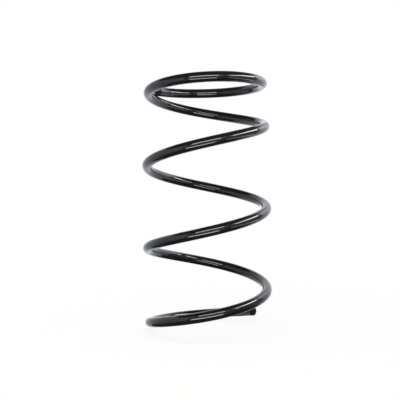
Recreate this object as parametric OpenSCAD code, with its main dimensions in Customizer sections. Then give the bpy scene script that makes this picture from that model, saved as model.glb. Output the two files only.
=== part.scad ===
// Coil spring of a car's front suspension strut, wound right-handed from one steel bar.
// Millimetres. The coil's axis is +Z, and z = 0 is the plane of the lower spring seat.
// Places along the bar are counted in turns, from its lower end up.

/* [Bar] */
// Diameter of the bar
bar_d = 11.5; // [8:0.1:14]
// Edge broken off the two sawn ends
end_break = 0.6; // [0.2:0.1:1.5]

/* [Coil] */
// Free height over the bar, from seat to seat
free_h = 295; // [240:1:380]
// Mean diameter of the working coils
coil_d = 140; // [110:0.5:180]
// Turns of the bar from end to end
turns = 4.33; // [3.8:0.005:5.5]
// Direction of the lower end in plan, counted from +X towards +Y
start_angle = 34; // [0:1:359]

/* [Lower end] */
// How much less than the working coils' the mean diameter is at the lower end
lower_narrowing = 5.3; // [0:0.1:12]
// Turns over which the coil widens from there to its full diameter
lower_flare = 1.04; // [0.3:0.01:1.5]
// Rise of the lower end's tip over the lowest point of the bar
tip_rise = 9.4; // [2:0.1:14]
// Turns from that tip to the lowest point
tip_turn = 0.24; // [0.12:0.01:0.4]
// Turns of the first run-up, off the seat
run_up = 0.22; // [0.1:0.01:0.4]
// Share of the full pitch that the first run-up reaches
run_up_share = 0.81; // [0.5:0.01:0.95]
// Turns that the bar keeps this lower pitch
hold = 0.26; // [0:0.01:0.4]
// Turns of the second run-up, to the full pitch
run_out = 0.42; // [0.2:0.01:0.6]

/* [Upper end] */
// How much less than the working coils' the mean diameter is at the upper end
upper_narrowing = 8.6; // [0:0.1:12]
// Turns over which the coil narrows to that
upper_taper = 2.13; // [0.5:0.01:2.5]
// Turns of bar that keep that diameter, up to the upper tip
upper_turn = 0.08; // [0:0.01:0.8]
// Turns over which the pitch fades out
fade = 1.13; // [0.6:0.01:1.3]
// Turns from the highest point of the bar to its upper tip
top_turn = 0.55; // [0.3:0.01:0.7]
// Gap between the upper tip and the coil under it
tip_gap = 0.3; // [0.3:0.1:3]

/* [Hidden] */
bar_r = bar_d / 2;
lower_d = coil_d - lower_narrowing;
upper_d = coil_d - upper_narrowing;
bar_sides = 20;
rings_per_turn = 60;
// Half the stretch of bar over which its direction is measured, in turns
probe = 0.001;
// Places along the bar, in turns
lowest = tip_turn;
second_rise = lowest + run_up + hold;
highest = turns - top_turn;
fade_start = highest - fade;
taper_start = turns - upper_turn - upper_taper;
// Length of broken edge at each end, in turns
lower_break = end_break / (PI * lower_d);
upper_break = end_break / (PI * upper_d);
// Full pitch, from the rise of the bar's centre line between its lowest and highest points
pitch = (free_h - bar_d) / climb(highest);

// A step from 0 to 1 with level ends, and the sum under it up to x
function step(x) = let (u = min(max(x, 0), 1)) u * u * (3 - 2 * u);
function step_sum(x) = x <= 0 ? 0 : x >= 1 ? x - 0.5 : pow(x, 3) * (1 - x / 2);

// The sum under a slope that fades from 1 to 0 with a level start
function fade_sum(x) = let (u = min(x, 1)) u <= 0 ? u : u - pow(u, 3) / 3;

// Full pitches climbed at n turns: two run-ups off the seat, then the fade under the upper seat
function climb_below(n) =
    run_up_share * run_up * step_sum((n - lowest) / run_up)
    + (1 - run_up_share) * run_out * step_sum((n - second_rise) / run_out);
function climb(n) =
    n < fade_start ? climb_below(n)
    : climb_below(fade_start) + fade * fade_sum((n - fade_start) / fade);

// Distance of the bar's centre line from the axis
function radius(n) =
    coil_d / 2
    - (coil_d - lower_d) / 2 * (1 - step(n / lower_flare))
    - (coil_d - upper_d) / 2 * step((n - taper_start) / upper_taper);

// Height of the centre line with both tips left level, then with the lower tip bent up
// and the upper tip bent down until it almost lies on the coil under it
function level_height(n) = bar_r + pitch * climb(n);
function tip_drop() =
    let (inset = radius(turns - 1) - radius(turns))
    level_height(turns) - level_height(turns - 1) - sqrt(pow(bar_d + tip_gap, 2) - pow(inset, 2));
function height(n) =
    level_height(n)
    + tip_rise * pow(max(lowest - n, 0) / lowest, 2)
    - tip_drop() * pow(max(n - highest, 0) / top_turn, 2);

// The centre line, its direction, and the bar's section at n turns
function plan_angle(n) = start_angle + 360 * n;
function outward(n) = [cos(plan_angle(n)), sin(plan_angle(n)), 0];
function centre(n) = radius(n) * outward(n) + [0, 0, height(n)];
function unit(v) = v / norm(v);
function along(n) = unit(centre(n + probe) - centre(n - probe));
function section(n, r) =
    let (up = unit(cross(outward(n), along(n))), out = cross(along(n), up))
    [for (i = [0 : bar_sides - 1])
        let (a = 360 * i / bar_sides)
        centre(n) + r * (cos(a) * out + sin(a) * up)];

// The wound bar, with a taper at each end that runs as far past the sawn face as it is long
module wound_bar() {
    body_turns = turns - lower_break - upper_break;
    steps = ceil(body_turns * rings_per_turn);
    sections = [
        section(-lower_break, bar_r - 2 * end_break),
        for (i = [0 : steps]) section(lower_break + body_turns * i / steps, bar_r),
        section(turns + upper_break, bar_r - 2 * end_break)
    ];
    last = len(sections) - 1;
    sides = [
        for (k = [0 : last - 1], i = [0 : bar_sides - 1])
            let (
                j = (i + 1) % bar_sides,
                a = k * bar_sides + i,
                b = k * bar_sides + j,
                c = a + bar_sides,
                d = b + bar_sides
            )
            each [[a, b, d], [a, d, c]]
    ];
    lower_face = [for (i = [bar_sides - 1 : -1 : 0]) i];
    upper_face = [for (i = [0 : bar_sides - 1]) last * bar_sides + i];
    polyhedron(points = [for (s = sections) each s], faces = concat(sides, [lower_face, upper_face]));
}

// What the saw takes off square to the bar at n turns, on the side that facing gives: 1 up, -1 down the bar
module offcut(n, facing) {
    d = facing * along(n);
    translate(centre(n)) rotate([0, acos(d.z), atan2(d.y, d.x)]) cylinder(h = 2 * end_break, r = bar_r, $fn = 48);
}

module coil_spring() {
    color("#17181a") difference() {
        wound_bar();
        offcut(0, -1);
        offcut(turns, 1);
    }
}

coil_spring();
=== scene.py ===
import math

import bpy
from mathutils import Matrix, Vector


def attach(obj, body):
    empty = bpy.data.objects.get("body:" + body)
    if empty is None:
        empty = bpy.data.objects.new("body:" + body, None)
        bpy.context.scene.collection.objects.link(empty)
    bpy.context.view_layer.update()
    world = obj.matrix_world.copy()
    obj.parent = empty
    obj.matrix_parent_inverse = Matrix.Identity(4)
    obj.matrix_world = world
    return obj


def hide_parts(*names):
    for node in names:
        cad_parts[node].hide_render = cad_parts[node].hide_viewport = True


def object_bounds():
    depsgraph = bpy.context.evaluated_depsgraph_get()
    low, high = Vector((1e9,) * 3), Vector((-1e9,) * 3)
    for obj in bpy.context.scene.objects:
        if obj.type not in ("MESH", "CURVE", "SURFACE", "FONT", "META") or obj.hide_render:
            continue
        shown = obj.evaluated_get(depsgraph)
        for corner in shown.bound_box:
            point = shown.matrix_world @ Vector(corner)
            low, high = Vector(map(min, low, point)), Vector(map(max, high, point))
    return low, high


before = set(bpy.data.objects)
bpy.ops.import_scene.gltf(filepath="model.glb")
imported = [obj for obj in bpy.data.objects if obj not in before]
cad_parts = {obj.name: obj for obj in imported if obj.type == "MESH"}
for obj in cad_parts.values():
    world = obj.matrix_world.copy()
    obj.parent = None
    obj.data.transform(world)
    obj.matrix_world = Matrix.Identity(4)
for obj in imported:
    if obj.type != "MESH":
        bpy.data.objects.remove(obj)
cadLow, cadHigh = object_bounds()  # box of the construction model
mm = 0.001


def linear(hexCode):
    # sRGB hex to the linear colour that a shader wants
    parts = [int(hexCode[i:i + 2], 16) / 255 for i in (1, 3, 5)]
    return [c / 12.92 if c <= 0.04045 else ((c + 0.055) / 1.055) ** 2.4 for c in parts] + [1.0]


def addNode(tree, kind, settings=None, links=None):
    # A new node: settings are its own properties or its input values, links are input: (node, output)
    node = tree.nodes.new(kind)
    for key, value in (settings or {}).items():
        if isinstance(key, str) and hasattr(node, key):
            setattr(node, key, value)
        else:
            node.inputs[key].default_value = value
    for key, (source, output) in (links or {}).items():
        tree.links.new(source.outputs[output], node.inputs[key])
    return node


def newMaterial(name):
    material = bpy.data.materials.new(name)
    material.use_nodes = True
    material.node_tree.nodes.clear()
    return material, material.node_tree


def newObject(name, verts, faces, material):
    mesh = bpy.data.meshes.new(name)
    mesh.from_pydata(verts, [], faces)
    mesh.materials.append(material)
    obj = bpy.data.objects.new(name, mesh)
    bpy.context.scene.collection.objects.link(obj)
    return obj


# The enamel

enamel = {
    "black": "#0d0d10",          # stoved black, a touch blue
    "blackThin": "#141418",      # the same where the coat runs thinner
    "ior": 1.5,                  # alkyd and epoxy enamels
    "roughness": 0.07,
    "roughnessSpread": 0.05,     # between well-flowed and slightly matt patches
    "patch": 14.0,               # mm, width of those patches
    "patchStretch": 3.0,         # times that width along the bar
    "patchLimits": (0.3, 0.7),   # of the noise, where a patch is wholly the one or the other
    "peel": 1.8,                 # mm, width of an orange peel dimple
    "peelDepth": 0.0015,         # mm
    "wave": 7.0,                 # mm, the longer waves of a dipped or sprayed coat
    "waveStretch": 1.6,          # times that width along the bar
    "waveDepth": 0.005,          # mm
    # Faint lines left by drawing the bar. Real ones, taken to be 0.2 mm apart, are too fine to show here,
    # so these are drawn coarser
    "drawLine": 0.9,             # mm apart
    "drawLineLength": 60.0,      # mm
    "drawnDepth": 0.0008,        # mm
    # Saw marks on the end faces, which the coat sinks into. Real ones, taken to be 0.3 mm apart, are too
    # fine to show here, so these are drawn coarser too
    "sawPitch": 0.8,             # mm apart
    "sawDepth": 0.05,            # mm
    "sawBump": 0.6,              # share of that depth that shows through the coat
    "sawWander": {"Distortion": 1.5, "Detail": 2.0, "Detail Scale": 1.5},  # how far the marks stray
    "sawRoughness": (0.33, 0.46),  # from one side of a mark to the other
    "sawSpecular": 0.2,          # where 0.5 is the full gloss of that IOR
}


def makeEnamel():
    # Stoved gloss enamel on a drawn bar: deep black, sharp reflections that waver a little
    e = enamel
    material, tree = newMaterial("glossBlackStovedEnamel")
    place = addNode(tree, "ShaderNodeAttribute", {"attribute_name": "barPlace"})
    fields = {}
    for field, width, stretch, octaves in (
        ("patches", e["patch"], e["patchStretch"], 2.0),
        ("drawn", e["drawLine"], e["drawLineLength"] / e["drawLine"], 1.0),
        ("wave", e["wave"], e["waveStretch"], 0.0),
        ("peel", e["peel"], 1.0, 1.0),
    ):
        # Noise of that width across the straight bar, and stretched so many times along it
        scaled = addNode(tree, "ShaderNodeMapping", {"Scale": (1 / stretch, 1, 1)},
                         {"Vector": (place, "Vector")})
        fields[field] = addNode(tree, "ShaderNodeTexNoise", {"Scale": 1 / (width * mm), "Detail": octaves},
                                {"Vector": (scaled, "Vector")})
    colour = addNode(tree, "ShaderNodeMix", {
        "data_type": "RGBA", 6: linear(e["black"]), 7: linear(e["blackThin"]),
    }, {"Factor": (fields["patches"], "Fac")})
    rough = addNode(tree, "ShaderNodeMapRange", {
        "From Min": e["patchLimits"][0],
        "From Max": e["patchLimits"][1],
        "To Min": e["roughness"] - e["roughnessSpread"] / 2,
        "To Max": e["roughness"] + e["roughnessSpread"] / 2,
    }, {"Value": (fields["patches"], "Fac")})
    bump = None
    for field in ("drawn", "wave", "peel"):
        links = {"Height": (fields[field], "Fac")}
        if bump:
            links["Normal"] = (bump, "Normal")
        bump = addNode(tree, "ShaderNodeBump", {"Strength": 1.0, "Distance": e[field + "Depth"] * mm},
                       links)
    shader = addNode(tree, "ShaderNodeBsdfPrincipled", {"IOR": e["ior"]}, {
        "Base Color": (colour, "Result"), "Roughness": (rough, "Result"), "Normal": (bump, "Normal"),
    })
    addNode(tree, "ShaderNodeOutputMaterial", None, {"Surface": (shader, "BSDF")})
    return material


def makeSawnEnamel():
    # The same enamel over the sawn end: it sinks into the saw marks, so the face is duller
    e = enamel
    bandSpan = 0.31  # m from band to band where a wave texture's scale is 1
    material, tree = newMaterial("enamelOverSawnSteel")
    place = addNode(tree, "ShaderNodeAttribute", {"attribute_name": "barPlace"})
    marks = addNode(tree, "ShaderNodeTexWave", {
        "bands_direction": "Y", "Scale": bandSpan / (e["sawPitch"] * mm), **e["sawWander"],
    }, {"Vector": (place, "Vector")})
    bump = addNode(tree, "ShaderNodeBump", {"Strength": e["sawBump"], "Distance": e["sawDepth"] * mm},
                   {"Height": (marks, "Fac")})
    rough = addNode(tree, "ShaderNodeMapRange", {
        "To Min": e["sawRoughness"][0], "To Max": e["sawRoughness"][1],
    }, {"Value": (marks, "Fac")})
    shader = addNode(tree, "ShaderNodeBsdfPrincipled", {
        "IOR": e["ior"], "Specular IOR Level": e["sawSpecular"], "Base Color": linear(e["black"]),
    }, {"Roughness": (rough, "Result"), "Normal": (bump, "Normal")})
    addNode(tree, "ShaderNodeOutputMaterial", None, {"Surface": (shader, "BSDF")})
    return material


# The wound bar, with places along it counted in turns from the lower end

coil = {
    "barDiameter": 11.5,     # mm, as all the lengths here
    "endBreak": 0.6,         # rounding of the two sawn ends
    "freeHeight": 295.0,     # from the lower seat to the upper one
    "coilDiameter": 140.0,   # of the bar's centre line
    "turns": 4.33,
    "startAngle": 34.0,      # degrees, from +X towards +Y
    "lowerDiameter": 134.7,
    "lowerFlare": 1.04,      # turns over which the coil widens to its full diameter
    "tipRise": 9.4,          # of the lower tip over its seat
    "tipTurn": 0.24,         # turns from that tip to the lowest point
    "runUp": 0.22,           # turns of the first rise off the seat
    "runUpShare": 0.81,      # share of the full pitch that it reaches
    "hold": 0.26,            # turns that keep that pitch
    "runOut": 0.42,          # turns of the second rise, to the full pitch
    "upperDiameter": 131.4,
    "upperTaper": 2.13,      # turns over which the coil narrows to that
    "upperTurn": 0.08,       # turns that keep it, up to the upper tip
    "fade": 1.13,            # turns over which the pitch fades out
    "topTurn": 0.55,         # turns from the highest point to the upper tip
    "tipGap": 0.3,           # between that tip and the coil under it
    "sides": 48,             # faces round the bar
    "ringsPerTurn": 160,
    "breakRings": 5,         # steps round the edge of a sawn end
    "faceRings": 4,          # steps from the middle of its face to that edge
}
barRadius = coil["barDiameter"] / 2
lowest = coil["tipTurn"]
secondRise = lowest + coil["runUp"] + coil["hold"]
highest = coil["turns"] - coil["topTurn"]
fadeStart = highest - coil["fade"]
taperStart = coil["turns"] - coil["upperTurn"] - coil["upperTaper"]


def step(x):
    u = min(max(x, 0), 1)
    return u * u * (3 - 2 * u)


def stepSum(x):
    if x <= 0:
        return 0
    return x - 0.5 if x >= 1 else x ** 3 * (1 - x / 2)


def fadeSum(x):
    u = min(x, 1)
    return u if u <= 0 else u - u ** 3 / 3


def climbBelow(n):
    first = coil["runUpShare"] * coil["runUp"] * stepSum((n - lowest) / coil["runUp"])
    second = (1 - coil["runUpShare"]) * coil["runOut"] * stepSum((n - secondRise) / coil["runOut"])
    return first + second


def climb(n):
    # Full pitches climbed at n turns
    if n < fadeStart:
        return climbBelow(n)
    return climbBelow(fadeStart) + coil["fade"] * fadeSum((n - fadeStart) / coil["fade"])


pitch = (coil["freeHeight"] - coil["barDiameter"]) / climb(highest)


def radiusAt(n):
    flare = (coil["coilDiameter"] - coil["lowerDiameter"]) / 2 * (1 - step(n / coil["lowerFlare"]))
    taper = (coil["coilDiameter"] - coil["upperDiameter"]) / 2 * step((n - taperStart) / coil["upperTaper"])
    return coil["coilDiameter"] / 2 - flare - taper


def levelHeight(n):
    return barRadius + pitch * climb(n)


tipInset = radiusAt(coil["turns"] - 1) - radiusAt(coil["turns"])
tipSpacing = math.sqrt((coil["barDiameter"] + coil["tipGap"]) ** 2 - tipInset ** 2)
tipDrop = levelHeight(coil["turns"]) - levelHeight(coil["turns"] - 1) - tipSpacing


def outwardAt(n):
    angle = math.radians(coil["startAngle"] + 360 * n)
    return Vector((math.cos(angle), math.sin(angle), 0))


def centreAt(n):
    z = levelHeight(n)
    z += coil["tipRise"] * (max(lowest - n, 0) / lowest) ** 2
    z -= tipDrop * (max(n - highest, 0) / coil["topTurn"]) ** 2
    return radiusAt(n) * outwardAt(n) + Vector((0, 0, z))


def alongAt(n):
    probe = 0.001  # turns
    return (centreAt(n + probe) - centreAt(n - probe)).normalized()


def barRings():
    # (turns, radius) of every ring, from the middle of the lower face to the middle of the upper one
    lowerTurn = math.pi * coil["lowerDiameter"]  # length of one turn at each end
    upperTurn = math.pi * coil["upperDiameter"]
    rim = barRadius - coil["endBreak"]
    cap = [(0, rim * i / coil["faceRings"]) for i in range(1, coil["faceRings"])]
    edge = []
    for i in range(coil["breakRings"] + 1):
        t = math.radians(90 * i / coil["breakRings"])
        edge.append((coil["endBreak"] * (1 - math.cos(t)), rim + coil["endBreak"] * math.sin(t)))
    end = cap + edge
    first = coil["endBreak"] / lowerTurn
    last = coil["turns"] - coil["endBreak"] / upperTurn
    steps = math.ceil((last - first) * coil["ringsPerTurn"])
    rings = [(d / lowerTurn, r) for d, r in end]
    rings += [(first + (last - first) * i / steps, barRadius) for i in range(1, steps)]
    rings += [(coil["turns"] - d / upperTurn, r) for d, r in reversed(end)]
    return rings


def windBar(skin, endSkin):
    # The bar's skin. Its attribute barPlace is each point's place along and across the bar as if unwound
    sides = coil["sides"]
    rings = barRings()
    verts, places = [centreAt(0) * mm], [Vector((0, 0, 0))]
    length, before = 0.0, centreAt(0)
    for n, r in rings:
        centre, outward, along = centreAt(n), outwardAt(n), alongAt(n)
        up = outward.cross(along).normalized()
        side = along.cross(up)
        length += (centre - before).length
        before = centre
        for i in range(sides):
            a = 2 * math.pi * i / sides
            verts.append((centre + r * (math.cos(a) * side + math.sin(a) * up)) * mm)
            places.append(Vector((length, r * math.cos(a), r * math.sin(a))) * mm)
    verts.append(centreAt(coil["turns"]) * mm)
    places.append(Vector((length * mm, 0, 0)))
    faces, endFaces = [], set()
    top = len(verts) - 1
    for k in range(len(rings) - 1):
        for i in range(sides):
            j = (i + 1) % sides
            a, b = 1 + k * sides + i, 1 + k * sides + j
            if k < coil["faceRings"] - 1 or k >= len(rings) - coil["faceRings"]:
                endFaces.add(len(faces))
            faces.append((a, a + sides, b + sides, b))
    for i in range(sides):
        j = (i + 1) % sides
        endFaces.update((len(faces), len(faces) + 1))
        faces.append((0, 1 + i, 1 + j))
        faces.append((top, top - sides + j, top - sides + i))
    spring = newObject("enamelled_spring_bar", verts, faces, skin)
    spring.data.materials.append(endSkin)
    spring.data.shade_smooth()
    for index in endFaces:
        spring.data.polygons[index].material_index = 1
    barPlace = spring.data.attributes.new("barPlace", "FLOAT_VECTOR", "POINT")
    barPlace.data.foreach_set("vector", [x for p in places for x in p])
    return spring


spring = windBar(makeEnamel(), makeSawnEnamel())
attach(spring, "root")
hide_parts("coil_spring")
print("spring:", len(spring.data.polygons), "faces")


# The light tent: lamps and panels that only the gloss mirrors, a fill light, and the floor

tent = {
    "lampColour": "#fbfaff",
    "clothColour": "#f6f7ff",
    # Strip lamps: start and end in mm from the spring's axis and lower seat, width, height on the axis
    # that the lamp faces, and radiance
    "lamps": {
        "frontUpperLamp": ((-215, -433, 358), (175, -433, 363), 120, 147.5, 10.8),
        "frontLowerLamp": ((-224, -433, -56), (192, -433, -52), 120, 147.5, 10.3),
        "rightFrontLamp": ((291, -348, 356), (348, -187, 393), 115, -300, 12.0),
        "rightRearLamp": ((348, -187, 393), (434, 56, 430), 115, -300, 17.0),
    },
    # Walls of cloth: both ends in plan in mm, then (height, tone at the first end, at the second) from the
    # foot up, where a tone of 1 is white
    "walls": {
        "frontCloth": ((-275, -453), (205, -453), (
            (-215, 0.2, 0.2), (130, 0.75, 0.75), (520, 0.3, 0.3))),
        "frontCorner": ((205, -453), (252, -360), (
            (-215, 0.4, 0.12), (-100, 0.85, 0.2), (120, 0.6, 0.25), (540, 2.5, 0.8))),
        "rightCorner": ((252, -360), (272, -303), (
            (-215, 0.2, 0.2), (0, 0.3, 0.3), (540, 0.6, 0.6))),
        "rightFrontFoot": ((272, -303), (410, 87), (
            (-215, 0.08, 0.26), (-15, 0.1, 0.3))),
        # A farther wall with a bright sill, which gives the dim second line under the bright one
        "rightFarPanel": ((440, -560), (720, 200), (
            (-420, 0.3, 0.5), (-230, 0.8, 1.0), (-112, 1.1, 1.3), (-108, 5.0, 8.0), (-60, 5.0, 8.0),
            (-54, 0.4, 0.4), (140, 0.4, 0.5), (620, 0.74, 0.7))),
        "rightFrontTop": ((272, -303), (357, -62), (
            (428, 0.2, 0.2), (640, 0.2, 0.2))),
        "rightMiddleTop": ((357, -62), (410, 87), (
            (432, 0.2, 1.1), (700, 0.2, 1.1))),
        "rightPanel": ((410, 87), (500, 600), (
            (-215, 0.85, 1.25), (60, 1.15, 1.35), (220, 1.7, 1.55), (450, 4.1, 1.9), (780, 2.2, 1.9))),
        "rightRearPanel": ((500, 600), (700, 1400), (
            (-500, 0.8, 0.9), (-215, 1.1, 1.1), (60, 1.35, 1.3), (450, 1.7, 1.4), (900, 1.6, 1.4))),
        "rearPanel": ((-700, 1400), (700, 1400), (
            (-1200, 1.1, 0.8), (-300, 1.25, 0.95), (250, 1.25, 1.35), (1100, 1.35, 1.45))),
        "leftRearPanel": ((-450, 240), (-700, 1400), (
            (-500, 0.88, 1.2), (0, 1.0, 1.2), (200, 1.08, 1.2), (350, 0.88, 1.2), (900, 1.0, 1.3))),
        "leftCorner": ((-275, -453), (-297, -421), (
            (-215, 0.5, 0.4), (520, 0.3, 0.3))),
        "leftFrontPanel": ((-297, -421), (-450, -200), (
            (-215, 0.45, 0.42), (20, 1.05, 0.9), (170, 1.2, 0.97), (445, 1.1, 1.02))),
        "leftFrontTop": ((-297, -421), (-450, -200), (
            (445, 0.1, 0.1), (520, 0.1, 0.1))),
        "leftPanel": ((-450, -200), (-450, 240), (
            (-215, 0.42, 0.95), (60, 0.82, 1.05), (200, 0.92, 1.12), (350, 0.94, 0.92), (720, 0.96, 0.98))),
    },
    # Ceilings, grounds and a small card: rows of (x, y, z, tone) from the front to the back
    "covers": {
        "ceilingCloth": (((-520, -503, 455, 0.06), (480, -503, 500, 0.27)),
                         ((-520, -60, 455, 0.06), (480, -60, 505, 0.27)),
                         ((-520, 300, 700, 0.06), (480, 300, 640, 0.27))),
        "groundCloth": (((-520, -503, -215, 0.11), (520, -503, -215, 0.13)),
                        ((-520, 240, -215, 0.11), (520, 240, -215, 0.13))),
        # Paler ground in front, for the undersides of the front strands
        "frontApron": (((-235, -480, -214, 0.2), (180, -480, -214, 0.2)),
                       ((-200, -110, -214, 0.15), (150, -110, -214, 0.15))),
        # A small lit card under the lower tip, which brings out the bar's side beside the sawn face
        "tipCard": (((28, 38, 1, 0.75), (62, 38, 1, 0.75)),
                    ((28, 52, 1, 0.75), (62, 52, 1, 0.75))),
        # Dark strips high and low behind, which darken the upper and lower edges of the strands
        "rearCeiling": (((-125, 300, 690, 0.1), (125, 300, 690, 0.1)),
                        ((-250, 800, 900, 0.1), (250, 800, 900, 0.1))),
        "rearGround": (((-110, 240, -216, 0.1), (110, 240, -216, 0.1)),
                       ((-220, 650, -450, 0.1), (220, 650, -450, 0.1))),
    },
}


def addLamp(name, start, end, width, aim, radiance):
    # A strip lamp from start to end in mm, facing that height on the axis, of that radiance
    start, end = Vector(start) * mm, Vector(end) * mm
    middle = (start + end) / 2
    x = (end - start).normalized()
    toAxis = Vector((0, 0, aim * mm)) - middle
    z = -(toAxis - toAxis.dot(x) * x).normalized()
    y = z.cross(x)
    data = bpy.data.lights.new(name, "AREA")
    data.shape = "RECTANGLE"
    data.size = (end - start).length
    data.size_y = width * mm
    data.energy = radiance * math.pi * data.size * data.size_y
    data.color = linear(tent["lampColour"])[:3]
    lamp = bpy.data.objects.new(name, data)
    lamp.matrix_world = Matrix.Translation(middle) @ Matrix((x, y, z)).transposed().to_4x4()
    bpy.context.scene.collection.objects.link(lamp)
    lamp.visible_camera = False
    lamp.visible_diffuse = False  # the fill light and the world light what is matt


def makeCloth():
    # White cloth with light behind it, as bright as each corner's tone says
    material, tree = newMaterial("litTentCloth")
    tone = addNode(tree, "ShaderNodeAttribute", {"attribute_name": "tone"})
    glow = addNode(tree, "ShaderNodeEmission", {"Color": linear(tent["clothColour"])},
                   {"Strength": (tone, "Fac")})
    addNode(tree, "ShaderNodeOutputMaterial", None, {"Surface": (glow, "Emission")})
    return material


def addCloth(name, rows, cloth):
    # Cloth through rows of two points (x, y, z, tone) in mm, that only the gloss mirrors
    points = [p for row in rows for p in row]
    faces = [(2 * k, 2 * k + 1, 2 * k + 3, 2 * k + 2) for k in range(len(rows) - 1)]
    piece = newObject(name, [Vector(p[:3]) * mm for p in points], faces, cloth)
    tone = piece.data.attributes.new("tone", "FLOAT", "POINT")
    tone.data.foreach_set("value", [p[3] for p in points])
    piece.visible_camera = piece.visible_diffuse = False
    piece.visible_transmission = piece.visible_shadow = False


def makeTent():
    cloth = makeCloth()
    for name, (start, end, levels) in tent["walls"].items():
        rows = [((*start, z, toneStart), (*end, z, toneEnd)) for z, toneStart, toneEnd in levels]
        addCloth(name, rows, cloth)
    for name, rows in tent["covers"].items():
        addCloth(name, rows, cloth)
    for name, lamp in tent["lamps"].items():
        addLamp(name, *lamp)


makeTent()

light = {
    "world": 0.8,            # light on what is matt, where 1 shows a colour as it is written
    "fill": 0.4,             # the fill light's share of that at the spring
    "fillPlace": (-0.2, -0.3, 1.4),  # m
    "fillSize": 1.0,         # m
    "floorColour": "#f8f8f6",
    "floorRadius": 4.0,      # m
    "shadowShare": 0.12,     # of the floor's own shading that the camera sees near the spring
    "shadowNear": 0.18,      # m from the axis, where that begins to fade
    "shadowFar": 0.6,        # m, where it has gone, so that no horizon shows
}


def seenDirectly(tree):
    # 1 for camera, glossy and transmission rays, which see the background white, else 0
    path = addNode(tree, "ShaderNodeLightPath")
    either = addNode(tree, "ShaderNodeMath", {"operation": "MAXIMUM"},
                     {0: (path, "Is Camera Ray"), 1: (path, "Is Glossy Ray")})
    return addNode(tree, "ShaderNodeMath", {"operation": "MAXIMUM"},
                   {0: (either, "Value"), 1: (path, "Is Transmission Ray")})


def makeWorld():
    world = bpy.data.worlds.new("whiteStudio")
    world.use_nodes = True
    tree = world.node_tree
    tree.nodes.clear()
    strength = addNode(tree, "ShaderNodeMapRange", {"To Min": light["world"], "To Max": 1.0},
                       {"Value": (seenDirectly(tree), "Value")})
    background = addNode(tree, "ShaderNodeBackground", {"Color": (1, 1, 1, 1)},
                         {"Strength": (strength, "Result")})
    addNode(tree, "ShaderNodeOutputWorld", None, {"Surface": (background, "Background")})
    bpy.context.scene.world = world


def makeFloor():
    # Pale floor: its own shading and shadow near the spring, running out into plain white
    material, tree = newMaterial("paleFloor")
    place = addNode(tree, "ShaderNodeTexCoord")
    flat = addNode(tree, "ShaderNodeVectorMath", {"operation": "LENGTH"}, {0: (place, "Object")})
    fade = addNode(tree, "ShaderNodeMapRange", {
        "interpolation_type": "SMOOTHSTEP", "From Min": light["shadowNear"], "From Max": light["shadowFar"],
        "To Min": light["shadowShare"], "To Max": 0.0,
    }, {"Value": (flat, "Value")})
    whiteShare = addNode(tree, "ShaderNodeMath", {"operation": "SUBTRACT", 0: 1.0}, {1: (fade, "Result")})
    seen = addNode(tree, "ShaderNodeMath", {"operation": "MULTIPLY"},
                   {0: (whiteShare, "Value"), 1: (seenDirectly(tree), "Value")})
    matt = addNode(tree, "ShaderNodeBsdfDiffuse", {"Color": linear(light["floorColour"])})
    white = addNode(tree, "ShaderNodeEmission", {"Strength": 1.0})
    mixed = addNode(tree, "ShaderNodeMixShader", None,
                    {0: (seen, "Value"), 1: (matt, "BSDF"), 2: (white, "Emission")})
    addNode(tree, "ShaderNodeOutputMaterial", None, {"Surface": (mixed, "Shader")})
    r = light["floorRadius"]
    floor = newObject("floor", [(-r, -r, 0), (r, -r, 0), (r, r, 0), (-r, r, 0)], [(0, 1, 2, 3)], material)
    floor.visible_glossy = False  # the tent that the gloss mirrors goes on below the floor


def makeFill():
    data = bpy.data.lights.new("fillLight", "AREA")
    data.shape = "DISK"
    data.size = light["fillSize"]
    middle = Vector((0, 0, cadHigh.z / 2))
    reach = light["fillPlace"][2] - middle.z
    data.energy = light["fill"] * math.pi ** 2 * reach ** 2  # W that give a level face that share
    lamp = bpy.data.objects.new("fillLight", data)
    lamp.location = light["fillPlace"]
    lamp.rotation_euler = (middle - lamp.location).to_track_quat("-Z", "Y").to_euler()
    bpy.context.scene.collection.objects.link(lamp)
    lamp.visible_camera = lamp.visible_glossy = False


makeWorld()
makeFloor()
makeFill()
print("studio: tent, fill light, floor")


# The camera, where the photograph was taken from

view = {
    "distance": 802.4,       # mm in front of the spring's axis
    "height": 170.4,         # mm above the lower seat
    "pitch": -1.187,         # degrees, looking slightly down
    "roll": -0.532,          # degrees
    "sensor": 36.0,          # mm
    "focal": 681.0,          # in pixels of the 400 pixel frame
    "axisPixel": 206.8,      # where the spring's axis crosses the frame
    "frame": 400.0,          # pixels across
    "clip": (0.01, 50.0),    # m, the nearest and farthest that it sees
}


def makeCamera():
    data = bpy.data.cameras.new("camera")
    data.sensor_width = view["sensor"]
    data.lens = view["focal"] * view["sensor"] / view["frame"]
    data.shift_x = (view["frame"] / 2 - view["axisPixel"]) / view["frame"]
    data.clip_start, data.clip_end = view["clip"]
    camera = bpy.data.objects.new("camera", data)
    place = Matrix.Translation(Vector((0, -view["distance"], view["height"])) * mm)
    tilt = Matrix.Rotation(math.radians(90 + view["pitch"]), 4, "X")
    roll = Matrix.Rotation(math.radians(view["roll"]), 4, "Z")
    camera.matrix_world = place @ tilt @ roll
    bpy.context.scene.collection.objects.link(camera)
    bpy.context.scene.camera = camera
    print("camera:", round(data.lens, 2), "mm lens")


makeCamera()
bpy.context.scene.view_settings.view_transform = "Standard"
